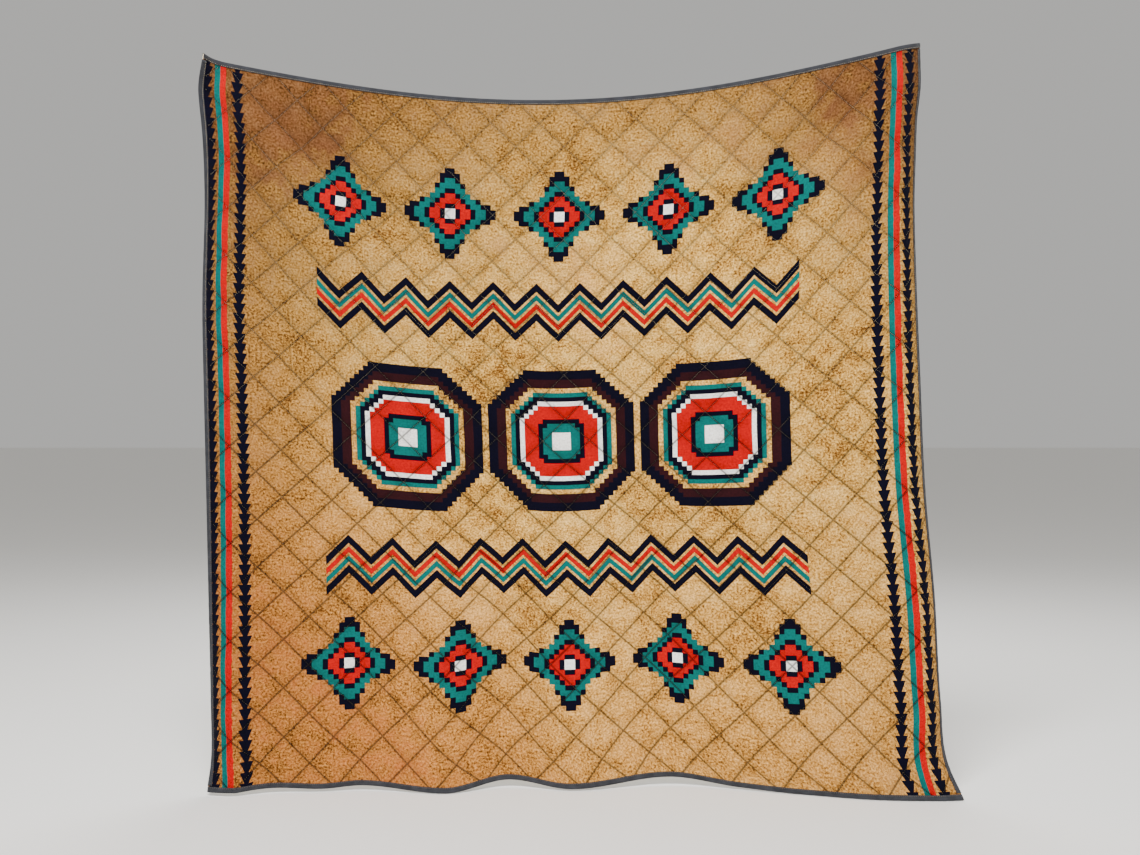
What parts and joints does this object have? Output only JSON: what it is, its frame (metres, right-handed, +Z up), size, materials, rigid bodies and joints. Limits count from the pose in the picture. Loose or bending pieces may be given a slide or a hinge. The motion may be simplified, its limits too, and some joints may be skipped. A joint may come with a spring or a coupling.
{
  "type": "hanging quilted bedspread",
  "caption": "Printed quilted bedspread with bound edges, hanging by its upper corners with a sagging top edge, softly waved hem and turned side edges.",
  "frame": {"origin": "middle of the top edge, on the cloth's middle layer", "axes": "+Z up, +X to the right as seen from the printed face, printed face towards -Y"},
  "size_m": [1.8271, 0.3053, 1.8204],
  "materials": {
    "printed_top": "matt brushed cotton, printed",
    "backing_cloth": "matt plain weave",
    "binding_tape": "matt plain weave tape",
    "quilting_thread": "matt spun thread"
  },
  "bodies": {
    "root": {"quilted_body": "printed_top", "binding_top": "binding_tape", "binding_bottom": "binding_tape", "binding_left": "binding_tape", "binding_right": "binding_tape"}
  },
  "joints": []
}
